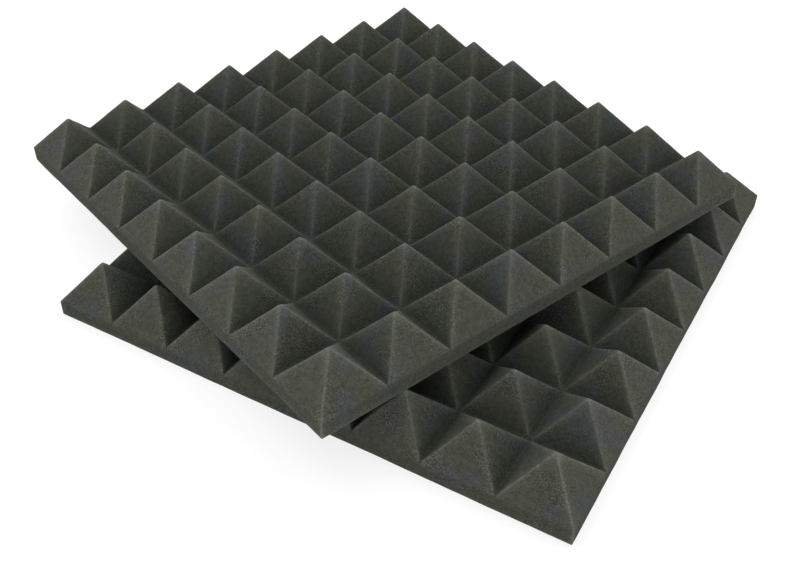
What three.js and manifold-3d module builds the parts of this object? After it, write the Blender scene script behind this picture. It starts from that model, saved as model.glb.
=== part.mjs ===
// Acoustic foam panels: a loose pair of square pyramid panels, one lying on the other.
// Lengths are in millimetres. The origin is the centre of the lower panel's flat back,
// +Z is up and the lower panel's edges run along X and Y.

import * as THREE from 'three';
import { mergeVertices } from 'three/addons/utils/BufferGeometryUtils.js';
import Module from 'manifold-3d';

const wasm = await Module();
wasm.setup();

// The panel
const PANEL_SIDE = 500; // both ways, over the straight edges
const PANEL_THICKNESS = 50; // from the flat back to the tips
const BASE_THICKNESS = 15; // the plain slab under the pyramids, seen as the panel's edge
const PYRAMIDS_PER_SIDE = 8;
const TIP_WIDTH = 2; // a scrap of the block's own skin is left flat on each tip
const VALLEY_RADIUS = 2; // the blade rounds the bottom of each groove
const VALLEY_STEPS = 3; // straight cuts in each round, odd so that grooves cross on a flat floor
const CUT_OVERRUN = 10; // how far the cutting profile runs past the block

// The pair
const REST_GAP = 0.3; // between the lower panel's tips and the upper panel's back
const UPPER_SHIFT_X = -82.3; // from the lower panel's centre to the upper panel's
const UPPER_SHIFT_Y = 26.4;
const UPPER_TURN_DEGREES = -19.9; // clockwise, seen from above

// The groove's section, worked out from the panel's sizes
const pitch = PANEL_SIDE / PYRAMIDS_PER_SIDE;
const slope = (PANEL_THICKNESS - BASE_THICKNESS) / ((pitch - TIP_WIDTH) / 2);
const steepness = Math.hypot(1, slope); // a flank's length for each millimetre across
const valleyAngle = Math.atan(slope);

// The material that one row of cuts leaves: a zigzag whose flanks run straight through the
// block's top and out past its edges, with a round at the bottom of each inner groove.
function ridgeProfile() {
  const half = PANEL_SIDE / 2;
  const apexHeight = BASE_THICKNESS + (slope * pitch) / 2;
  const endHeight = BASE_THICKNESS - slope * CUT_OVERRUN;
  const floor = -(1 + slope) * CUT_OVERRUN;
  const roundCentre = BASE_THICKNESS + VALLEY_RADIUS * steepness;
  const profile = new THREE.Shape();
  profile.moveTo(-half - CUT_OVERRUN, floor);
  profile.lineTo(half + CUT_OVERRUN, floor);
  profile.lineTo(half + CUT_OVERRUN, endHeight);
  for (let ridge = PYRAMIDS_PER_SIDE - 1; ridge >= 0; ridge -= 1) {
    const left = ridge * pitch - half;
    profile.lineTo(left + pitch / 2, apexHeight);
    if (ridge === 0) {
      continue;
    }
    for (let step = 0; step <= VALLEY_STEPS; step += 1) {
      const turn = valleyAngle * (1 - (2 * step) / VALLEY_STEPS);
      const across = left + VALLEY_RADIUS * Math.sin(turn);
      profile.lineTo(across, roundCentre - VALLEY_RADIUS * Math.cos(turn));
    }
  }
  profile.lineTo(-half - CUT_OVERRUN, endHeight);
  profile.closePath();
  return profile;
}

// The profile as a long bar through the whole block, its ridges running along Y.
function ridgeBar() {
  const length = PANEL_SIDE + 2 * CUT_OVERRUN;
  const bar = new THREE.ExtrudeGeometry(ridgeProfile(), { depth: length, bevelEnabled: false });
  bar.translate(0, 0, -length / 2);
  bar.rotateX(Math.PI / 2);
  return bar;
}

function toSolid(geometry) {
  const bare = geometry.clone();
  bare.deleteAttribute('normal');
  bare.deleteAttribute('uv');
  const joined = mergeVertices(bare);
  return new wasm.Manifold(
    new wasm.Mesh({
      numProp: 3,
      vertProperties: new Float32Array(joined.attributes.position.array),
      triVerts: new Uint32Array(joined.index.array),
    }),
  );
}

function toGeometry(solid) {
  const mesh = solid.getMesh();
  const geometry = new THREE.BufferGeometry();
  geometry.setAttribute('position', new THREE.BufferAttribute(mesh.vertProperties, 3));
  geometry.setIndex(new THREE.BufferAttribute(mesh.triVerts, 1));
  const faceted = geometry.toNonIndexed();
  faceted.computeVertexNormals();
  return faceted;
}

// A foam block, cut along Y and then along X. Where both cuts leave material, pyramids stand.
function pyramidPanel() {
  const block = new THREE.BoxGeometry(PANEL_SIDE, PANEL_SIDE, PANEL_THICKNESS);
  block.translate(0, 0, PANEL_THICKNESS / 2);
  const alongY = ridgeBar();
  const alongX = alongY.clone().rotateZ(Math.PI / 2);
  return toGeometry(toSolid(block).intersect(toSolid(alongY)).intersect(toSolid(alongX)));
}

function foamPiece(name) {
  const foam = new THREE.MeshStandardMaterial({ color: 0x55544e, roughness: 0.95, metalness: 0 });
  const piece = new THREE.Mesh(pyramidPanel(), foam);
  piece.name = name;
  return piece;
}

const lowerPanel = foamPiece('lower_panel');

// The upper panel lies level on the lower one's tips, set back to one side and turned.
const upperPanel = foamPiece('upper_panel');
upperPanel.position.set(UPPER_SHIFT_X, UPPER_SHIFT_Y, PANEL_THICKNESS + REST_GAP);
upperPanel.rotation.z = THREE.MathUtils.degToRad(UPPER_TURN_DEGREES);

const group = new THREE.Group();
group.add(lowerPanel, upperPanel);

export default group;
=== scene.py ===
import math

import bmesh
import bpy
from mathutils import Matrix, Vector, noise


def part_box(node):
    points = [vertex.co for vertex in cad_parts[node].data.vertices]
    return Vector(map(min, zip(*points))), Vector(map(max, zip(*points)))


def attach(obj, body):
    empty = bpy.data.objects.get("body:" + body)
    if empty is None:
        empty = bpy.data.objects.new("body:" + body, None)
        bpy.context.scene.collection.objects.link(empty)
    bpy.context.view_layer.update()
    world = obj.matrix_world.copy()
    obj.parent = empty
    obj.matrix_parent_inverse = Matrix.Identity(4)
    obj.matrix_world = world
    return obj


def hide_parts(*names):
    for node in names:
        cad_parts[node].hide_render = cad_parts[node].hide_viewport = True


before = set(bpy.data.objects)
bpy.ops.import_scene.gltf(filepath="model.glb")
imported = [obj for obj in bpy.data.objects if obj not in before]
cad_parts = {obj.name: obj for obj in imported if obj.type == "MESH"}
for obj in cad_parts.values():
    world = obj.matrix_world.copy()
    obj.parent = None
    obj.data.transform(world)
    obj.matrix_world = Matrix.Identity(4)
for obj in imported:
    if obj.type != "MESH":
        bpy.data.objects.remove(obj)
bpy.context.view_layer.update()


# Camera. It stands in front of the pair and to the right, a little over half a metre up,
# and looks down on both panels.

CAMERA_PLACE = Vector((0.3564, -0.6784, 0.5770))
CAMERA_LOOKS = Vector((-0.39288, 0.67430, -0.62527))
CAMERA_ROLL_DEGREES = 0.3
CAMERA_LENS_MM = 43.62
CAMERA_SENSOR_MM = 36
CAMERA_NEAREST = 0.01

lens = bpy.data.cameras.new("camera")
lens.lens = CAMERA_LENS_MM
lens.sensor_width = CAMERA_SENSOR_MM
lens.clip_start = CAMERA_NEAREST
camera = bpy.data.objects.new("camera", lens)
bpy.context.scene.collection.objects.link(camera)
aim = CAMERA_LOOKS.to_track_quat("-Z", "Y").to_matrix().to_4x4()
roll = Matrix.Rotation(math.radians(CAMERA_ROLL_DEGREES), 4, "Z")
camera.matrix_world = Matrix.Translation(CAMERA_PLACE) @ aim @ roll
bpy.context.scene.camera = camera


# Charcoal foam. Open-cell polyurethane, coloured right through, with cells of about a
# millimetre. It is olive with bluish patches, tinted in random spots. Painted shade darkens it
# deep in the grooves and tints it greener there, and painted light makes it paler and rosier
# on the rim's outward faces.
# Ridges and tips are thin and painted paler as a highlight, and along the ridges a painted
# highlight shows where the torn struts catch the light.

FOAM_OLIVE = (0.0620, 0.0651, 0.0504, 1)
FOAM_BLUE = (0.0609, 0.0651, 0.0660, 1)
GREEN_TINT = (0.93, 1.0, 0.965, 1)
ROSE_TINT = (1.03, 1.0, 1.01, 1)
# The colour of the painted highlight where torn struts catch the light.
STRUT_PAINTED_HIGHLIGHT = (0.175, 0.180, 0.160, 1)
FOAM_ROUGHNESS = 1.0
FOAM_SPECULAR = 0.05
CELL_DEPTH = 0.0006
CELL_RELIEF = 0.5
ROSE_PER_PAINTED_SHADING = 1.5

# Patterns in the foam. Each has a size, a detail and a roughness.
CELLS = (0.0011, 2.0, 0.6)
CLUMPS = (0.004, 2.0, 0.5)
BLOTCHES = (0.031, 3.0, 0.6)
TINT_SPOTS = (0.020, 4.0, 0.7)
OPEN_PATCHES = (0.024, 1.0, 0.5)
STREAKS = (0.015, 1.0, 0.5)

# Gradual changes. Each has the values between which it happens, and then what it gives at
# the first of them and at the second, which is 0 and 1 where it isn't said.
BLUISH = (0.47, 0.68)
ROSY = (1.835, 2.075)
OPENNESS = (0.4, 0.75, 0.22, 0.68)
RIDGE_OPENNESS = (0.0, 0.015, 1.1, 0.92)
CELL_TONE = (0.30, 0.95, -0.70, 2.1)
CLUMP_TONE = (0.2, 0.8, 0.85, 1.15)
# Painted highlights: the ridges, the tips and the tips' nubs are made paler.
RIDGE_PAINTED_HIGHLIGHT = (0.0, 0.007, 1.24, 1.0)
TIP_PAINTED_HIGHLIGHT = (0.0, 0.010, 1.3, 1.0)
NUB_PAINTED_HIGHLIGHT = (0.0, 0.0035, 1.42, 1.0)
# The painted highlight of the torn struts along the ridges.
PAINTED_HIGHLIGHT_LINE = (0.0, 0.0018, 1.0, 0.0)
PAINTED_HIGHLIGHT_CELLS = (0.3, 0.65, 0.35, 1.0)
PAINTED_HIGHLIGHT_CLUMPS = (0.3, 0.7, 0.7, 1.0)
PAINTED_HIGHLIGHT_STREAKS = (0.3, 0.7, 0.75, 1.0)


class Signal:
    """A socket's value in a material, so that shader maths reads as arithmetic."""

    # A Mix node has sockets for several types of data. These are the ones for colours.
    FACTOR = 0
    FIRST_COLOUR = 6
    SECOND_COLOUR = 7
    MIXED_COLOUR = 2

    def __init__(self, tree, socket=None):
        self.tree = tree
        self.socket = socket

    def node(self, kind, settings, inputs, output=0):
        made = self.tree.nodes.new(kind)
        for name, value in settings.items():
            setattr(made, name, value)
        for name, value in inputs.items():
            if isinstance(value, Signal):
                self.tree.links.new(value.socket, made.inputs[name])
            else:
                made.inputs[name].default_value = value
        return Signal(self.tree, made.outputs[output])

    def maths(self, operation, first, second):
        return self.node("ShaderNodeMath", {"operation": operation}, {0: first, 1: second})

    def __add__(self, other):
        return self.maths("ADD", self, other)

    def __radd__(self, other):
        return self.maths("ADD", other, self)

    def __rsub__(self, other):
        return self.maths("SUBTRACT", other, self)

    def __mul__(self, other):
        return self.maths("MULTIPLY", self, other)

    def __rmul__(self, other):
        return self.maths("MULTIPLY", other, self)

    def between(self, low, high, at_low=0.0, at_high=1.0):
        settings = {"interpolation_type": "SMOOTHSTEP"}
        inputs = {
            "Value": self,
            "From Min": low,
            "From Max": high,
            "To Min": at_low,
            "To Max": at_high,
        }
        return self.node("ShaderNodeMapRange", settings, inputs)

    def speckle(self, size, detail, roughness):
        inputs = {"Vector": self, "Scale": 1 / size, "Detail": detail, "Roughness": roughness}
        return self.node("ShaderNodeTexNoise", {}, inputs)

    def mix(self, first, second):
        settings = {"data_type": "RGBA"}
        inputs = {self.FACTOR: self, self.FIRST_COLOUR: first, self.SECOND_COLOUR: second}
        return self.node("ShaderNodeMix", settings, inputs, self.MIXED_COLOUR)

    def tinted(self, colour):
        settings = {"data_type": "RGBA", "blend_type": "MULTIPLY"}
        inputs = {self.FACTOR: 1.0, self.FIRST_COLOUR: self, self.SECOND_COLOUR: colour}
        return self.node("ShaderNodeMix", settings, inputs, self.MIXED_COLOUR)

    def grey(self):
        inputs = {"Red": self, "Green": self, "Blue": self}
        return self.node("ShaderNodeCombineColor", {}, inputs)


foam = bpy.data.materials.new("charcoal_foam")
foam.use_nodes = True
foam_tree = foam.node_tree
foam_shader = foam_tree.nodes["Principled BSDF"]
place = Signal(foam_tree).node("ShaderNodeTexCoord", {}, {}, "Object")
from_ridge, from_tip, painted_shading, highlight_strength = (
    place.node("ShaderNodeAttribute", {"attribute_name": name}, {}, "Fac")
    for name in ("from_ridge", "from_tip", "painted_shading", "highlight_strength")
)
cells = place.speckle(*CELLS)
clumps = place.speckle(*CLUMPS)
body = place.speckle(*BLOTCHES).between(*BLUISH).mix(FOAM_OLIVE, FOAM_BLUE)
# The rose tint follows random spots and the painted shading: greener with the painted shade,
# rosier with the painted light.
rosy = (place.speckle(*TINT_SPOTS) + ROSE_PER_PAINTED_SHADING * painted_shading).between(*ROSY)
body = body.tinted(rosy.mix(GREEN_TINT, ROSE_TINT))
openness = place.speckle(*OPEN_PATCHES).between(*OPENNESS)
openness = openness * from_ridge.between(*RIDGE_OPENNESS)
tone = 1 + cells.between(*CELL_TONE) * openness
# Painted shade and painted light: the tone is darkened in the grooves and on the slab, and
# lightened on the rim's outward faces.
tone = tone * clumps.between(*CLUMP_TONE) * painted_shading
# Painted highlights: paler along the ridges, at the tips and on their nubs.
tone = tone * from_ridge.between(*RIDGE_PAINTED_HIGHLIGHT)
tone = tone * from_tip.between(*TIP_PAINTED_HIGHLIGHT)
tone = tone * from_tip.between(*NUB_PAINTED_HIGHLIGHT)
body = body.tinted(tone.grey())
# A painted highlight: a pale line where the torn struts along the ridges, the slab's corners and
# its bottom edge catch the light.
strut_highlight = from_ridge.between(*PAINTED_HIGHLIGHT_LINE) * cells.between(*PAINTED_HIGHLIGHT_CELLS)
strut_highlight = strut_highlight * highlight_strength
strut_highlight = strut_highlight * clumps.between(*PAINTED_HIGHLIGHT_CLUMPS)
strut_highlight = strut_highlight * place.speckle(*STREAKS).between(*PAINTED_HIGHLIGHT_STREAKS)
colour = strut_highlight.mix(body, STRUT_PAINTED_HIGHLIGHT)
foam_tree.links.new(colour.socket, foam_shader.inputs["Base Color"])
relief = {"Height": cells, "Distance": CELL_DEPTH, "Strength": CELL_RELIEF}
bump = cells.node("ShaderNodeBump", {}, relief)
foam_tree.links.new(bump.socket, foam_shader.inputs["Normal"])
foam_shader.inputs["Roughness"].default_value = FOAM_ROUGHNESS
foam_shader.inputs["Specular IOR Level"].default_value = FOAM_SPECULAR


# Foam panels. Each is one block of foam with a plain slab at the back. A contour blade
# cuts rows of grooves across it one way and then the other, which leaves square pyramids
# with soft grooves between them. The upper panel lies loose on the lower one's tips.

PYRAMIDS_PER_SIDE = 8
SLAB_THICKNESS = 0.015
TIP_WIDTH = 0.002
GROOVE_RADIUS = 0.002
RIDGE_BLEND = 0.0018
TIP_BLEND = 0.001
EDGE_ROUND = 0.0008
EDGE_SEGMENTS = 2
LINES_PER_PYRAMID = 36
LINES_CROWD = 0.4
SLAB_ROWS = 3
SAME_PLACE = 1e-6
QUAD_CORNERS = 4  # only the flat back has more
RIPPLES = ((0.050, 0.0005), (0.014, 0.00018))  # each with its length and its reach
RIPPLE_SEED = 4  # so that the ripple is the same in every run
RIDGE_RUN_OUT = 1.5  # in reaches of a groove's round
# Painted shade and painted light: the foam's colour is darker towards the groove bottoms, on the
# inner faces and on the slab, and paler on the rim's outward faces.
GROOVE_PAINTED_SHADE = 0.63
FACE_PAINTED_SHADE = 0.96
RIM_PAINTED_LIGHT = 1.06
SLAB_PAINTED_SHADE = 0.96
PAINTED_SHADE_POWER = 8  # keeps the painted shade close to the groove bottoms
# How strongly the painted highlight on the torn struts shows.
HIGHLIGHT_STRENGTHS = (0.28, 0.48, 1.05)  # inside the panel, at its rim and at its corners
UPPER_TURN_DEGREES = -19.9

low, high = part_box("lower_panel")
side = high.x - low.x
thickness = high.z - low.z
pitch = side / PYRAMIDS_PER_SIDE
slope = (thickness - SLAB_THICKNESS) / ((pitch - TIP_WIDTH) / 2)
steepness = math.hypot(1, slope)
groove_reach = GROOVE_RADIUS * math.sin(math.atan(slope))


def from_groove(across):
    return abs(across - round(across / pitch) * pitch)


def blade_height(across):
    """The height that one set of cuts leaves, at a place across its grooves."""
    if side / 2 - abs(across) < pitch / 2:
        return SLAB_THICKNESS + slope * (side / 2 - abs(across))
    reach = from_groove(across)
    if reach > groove_reach:
        return SLAB_THICKNESS + slope * reach
    centre = SLAB_THICKNESS + GROOVE_RADIUS * steepness
    return centre - math.sqrt(GROOVE_RADIUS**2 - reach**2)


def soft_lesser(first, second, blend):
    """The lesser of two heights, with the corner between them rounded off."""
    near = max(blend - abs(first - second), 0) / blend
    return min(first, second) - near * near * blend / 4


def foam_height(spot):
    ridges = soft_lesser(blade_height(spot.x), blade_height(spot.y), RIDGE_BLEND)
    return soft_lesser(ridges, thickness, TIP_BLEND)


def crowded(across):
    """Moves a line towards the nearest groove or tip, where the surface turns."""
    wave = math.sin(4 * math.pi * across / pitch)
    return across - LINES_CROWD * pitch / (4 * math.pi) * wave


def on_slab(spot):
    return spot.z < SLAB_THICKNESS - EDGE_ROUND / 2


def distance_from_ridge(spot):
    """Ridges run out in the round of each groove, but not at the panel's own corners."""
    # On the slab, its corners and its bottom edge count as ridges, so the painted highlight runs
    # along them too.
    if on_slab(spot):
        return min((side / 2 - min(abs(spot.x), abs(spot.y))) / math.sqrt(2), spot.z)
    inner = [from_groove(across) for across in spot.xy if side / 2 - abs(across) > pitch / 2]
    run_out = max(RIDGE_RUN_OUT * groove_reach - min(inner, default=pitch), 0)
    return abs(from_groove(spot.x) - from_groove(spot.y)) / math.sqrt(2) + run_out


def distance_from_tip(spot):
    return math.hypot(*(pitch / 2 - from_groove(across) for across in spot.xy))


def painted_shading_at(spot):
    """Painted shade and painted light: darkest deep in the grooves, where shade falls, and palest
    on the outward faces.
    """
    if on_slab(spot):
        return SLAB_PAINTED_SHADE
    rim = side / 2 - max(abs(spot.x), abs(spot.y))
    if rim < pitch / 2 and rim <= min(from_groove(across) for across in spot.xy) + SAME_PLACE:
        return RIM_PAINTED_LIGHT
    rise = (spot.z - SLAB_THICKNESS) / (thickness - SLAB_THICKNESS)
    return FACE_PAINTED_SHADE - (FACE_PAINTED_SHADE - GROOVE_PAINTED_SHADE) * (1 - rise) ** PAINTED_SHADE_POWER


def highlight_strength_at(spot):
    """The painted highlight on the torn struts is strongest at the panel's corners, then at its
    rim.
    """
    return HIGHLIGHT_STRENGTHS[sum(side / 2 - abs(across) < pitch / 2 for across in spot.xy)]


def on_ridge(spot):
    return abs(from_groove(spot.x) - from_groove(spot.y)) < SAME_PLACE


def foam_panel(name, node, turn_degrees):
    # The face: a flat sheet of lines, raised to the height that the blade leaves.
    shape = bmesh.new()
    lines = PYRAMIDS_PER_SIDE * LINES_PER_PYRAMID
    bmesh.ops.create_grid(shape, x_segments=lines, y_segments=lines, size=side / 2)
    for vert in shape.verts:
        vert.co.x, vert.co.y = crowded(vert.co.x), crowded(vert.co.y)
    ridges = [vert for vert in shape.verts if on_ridge(vert.co)]
    bmesh.ops.connect_verts(shape, verts=ridges)
    for vert in shape.verts:
        vert.co.z = foam_height(vert.co)

    # The slab's edges, pulled down from the rim in rows, and its back. Cut edges are rounded.
    rim = [edge for edge in shape.edges if edge.is_boundary]
    square_cut = list(rim)
    for row in range(SLAB_ROWS):
        ends = [vert for edge in rim for vert in edge.verts]
        corners = [vert for vert in ends if abs(abs(vert.co.x) - abs(vert.co.y)) < SAME_PLACE]
        made = bmesh.ops.extrude_edge_only(shape, edges=rim)["geom"]
        for part in made:
            if isinstance(part, bmesh.types.BMVert):
                part.co.z = SLAB_THICKNESS * (1 - (row + 1) / SLAB_ROWS)
        rim = [part for part in made if isinstance(part, bmesh.types.BMEdge) and part.is_boundary]
        for corner in set(corners):
            square_cut += [edge for edge in corner.link_edges if edge.other_vert(corner) in made]
    square_cut += rim
    bmesh.ops.edgeloop_fill(shape, edges=rim)
    bmesh.ops.bevel(
        shape,
        geom=square_cut,
        offset=EDGE_ROUND,
        segments=EDGE_SEGMENTS,
        profile=0.5,
        affect="EDGES",
        material=-1,
    )
    bmesh.ops.recalc_face_normals(shape, faces=shape.faces)

    # What the foam's material reads, measured while the panel is still unturned.
    measures = {
        "from_ridge": distance_from_ridge,
        "from_tip": distance_from_tip,
        "painted_shading": painted_shading_at,
        "highlight_strength": highlight_strength_at,
    }
    for attribute, measure in measures.items():
        layer = shape.verts.layers.float.new(attribute)
        for vert in shape.verts:
            vert[layer] = measure(vert.co)

    # The panel's place in the pair, and the blade's ripple, which leaves the back flat.
    node_low, node_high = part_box(node)
    seat = Matrix.Translation((node_low + node_high) / 2 - Vector((0, 0, thickness / 2)))
    seat = seat @ Matrix.Rotation(math.radians(turn_degrees), 4, "Z")
    bmesh.ops.transform(shape, matrix=seat, verts=shape.verts)
    for vert in shape.verts:
        shift = Vector((0, 0, 0))
        for length, reach in RIPPLES:
            shift += noise.noise_vector(vert.co / length) * reach
        if vert.co.z - node_low.z < EDGE_ROUND:
            shift.z = 0
        vert.co += shift
    for face in shape.faces:
        face.smooth = len(face.verts) <= QUAD_CORNERS

    mesh = bpy.data.meshes.new(name)
    shape.to_mesh(mesh)
    shape.free()
    mesh.materials.append(foam)
    piece = bpy.data.objects.new(name, mesh)
    bpy.context.scene.collection.objects.link(piece)
    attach(piece, node)
    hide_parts(node)


noise.seed_set(RIPPLE_SEED)
foam_panel("lower_foam_panel", "lower_panel", 0)
foam_panel("upper_foam_panel", "upper_panel", UPPER_TURN_DEGREES)


# Floor and light. A white paper floor lies under a dome of soft light that is brightest on
# the far side from the camera. A glow stands low all round, with some more on the camera's
# side, and one soft box hangs high up on the left.

FLOOR_SIZE = 5
FLOOR_DROP = 0.0005
FLOOR_BOUNCE = (0.85, 0.85, 0.85, 1)
FLOOR_TONE = (0.3, 0.3, 0.3, 1)
FLOOR_GLOW = (0.78, 0.78, 0.78, 1)
NO_GLOW = (0, 0, 0, 1)
PAPER_ROUGHNESS = 1.0
PAPER_SPECULAR = 0.0
WHITE = (1, 1, 1, 1)
DOME_GLOW = 1.75
LOW_GLOW = (0.10, 0.35, 2.1, 0.0)
FRONT_GLOW = (0.03, 0.30, 0.7, 0.0)
FRONT_GLOW_SPREAD = (-0.2, 1.0)
CAMERA_SIDE = (0.43, -0.90, 0)
SOFT_BOX_SIZE = 1.3
SOFT_BOX_AZIMUTH_DEGREES = 202
SOFT_BOX_ELEVATION_DEGREES = 65
SOFT_BOX_DISTANCE = 2.4
SOFT_BOX_WATTS = 7.4


def seen_directly(tree):
    """1 where a ray comes from the camera or a shiny or clear surface, and 0 elsewhere."""
    path = tree.nodes.new("ShaderNodeLightPath").outputs
    camera_ray = Signal(tree, path["Is Camera Ray"])
    mirrored = camera_ray.maths("MAXIMUM", camera_ray, Signal(tree, path["Is Glossy Ray"]))
    return mirrored.maths("MAXIMUM", mirrored, Signal(tree, path["Is Transmission Ray"]))


floor_shape = bmesh.new()
bmesh.ops.create_grid(floor_shape, x_segments=1, y_segments=1, size=FLOOR_SIZE / 2)
bmesh.ops.translate(floor_shape, vec=(0, 0, -FLOOR_DROP), verts=floor_shape.verts)
floor_mesh = bpy.data.meshes.new("floor")
floor_shape.to_mesh(floor_mesh)
floor_shape.free()
floor = bpy.data.objects.new("floor", floor_mesh)
bpy.context.scene.collection.objects.link(floor)
paper = bpy.data.materials.new("white_paper")
paper.use_nodes = True
paper_tree = paper.node_tree
paper_shader = paper_tree.nodes["Principled BSDF"]
paper_seen = seen_directly(paper_tree)
paper_colour = paper_seen.mix(FLOOR_BOUNCE, FLOOR_TONE)
paper_glow = paper_seen.mix(NO_GLOW, FLOOR_GLOW)
paper_tree.links.new(paper_colour.socket, paper_shader.inputs["Base Color"])
paper_tree.links.new(paper_glow.socket, paper_shader.inputs["Emission Color"])
paper_shader.inputs["Emission Strength"].default_value = 1
paper_shader.inputs["Roughness"].default_value = PAPER_ROUGHNESS
paper_shader.inputs["Specular IOR Level"].default_value = PAPER_SPECULAR
floor_mesh.materials.append(paper)

room = bpy.data.worlds.new("room")
room.use_nodes = True
room_tree = room.node_tree
background = room_tree.nodes["Background"]
background.inputs["Color"].default_value = WHITE
direction = Signal(room_tree).node("ShaderNodeTexCoord", {}, {}, "Generated")
rise = direction.node("ShaderNodeSeparateXYZ", {}, {"Vector": direction}, "Z")
dot = {"operation": "DOT_PRODUCT"}
towards = direction.node("ShaderNodeVectorMath", dot, {0: direction, 1: CAMERA_SIDE}, "Value")
dome = (1 - towards) * (DOME_GLOW / 2)
low_glow = rise.between(*LOW_GLOW)
front_glow = rise.between(*FRONT_GLOW) * towards.between(*FRONT_GLOW_SPREAD)
room_seen = seen_directly(room_tree)
level = room_seen + (1 - room_seen) * (dome + low_glow + front_glow)
room_tree.links.new(level.socket, background.inputs["Strength"])
bpy.context.scene.world = room

lamp = bpy.data.lights.new("left_soft_box", "AREA")
lamp.energy = SOFT_BOX_WATTS
lamp.shape = "SQUARE"
lamp.size = SOFT_BOX_SIZE
soft_box = bpy.data.objects.new("left_soft_box", lamp)
bpy.context.scene.collection.objects.link(soft_box)
turn = Matrix.Rotation(math.radians(SOFT_BOX_AZIMUTH_DEGREES), 4, "Z")
tilt = Matrix.Rotation(math.radians(90 - SOFT_BOX_ELEVATION_DEGREES), 4, "Y")
soft_box.matrix_world = turn @ tilt @ Matrix.Translation((0, 0, SOFT_BOX_DISTANCE))

bpy.context.scene.view_settings.view_transform = "Standard"
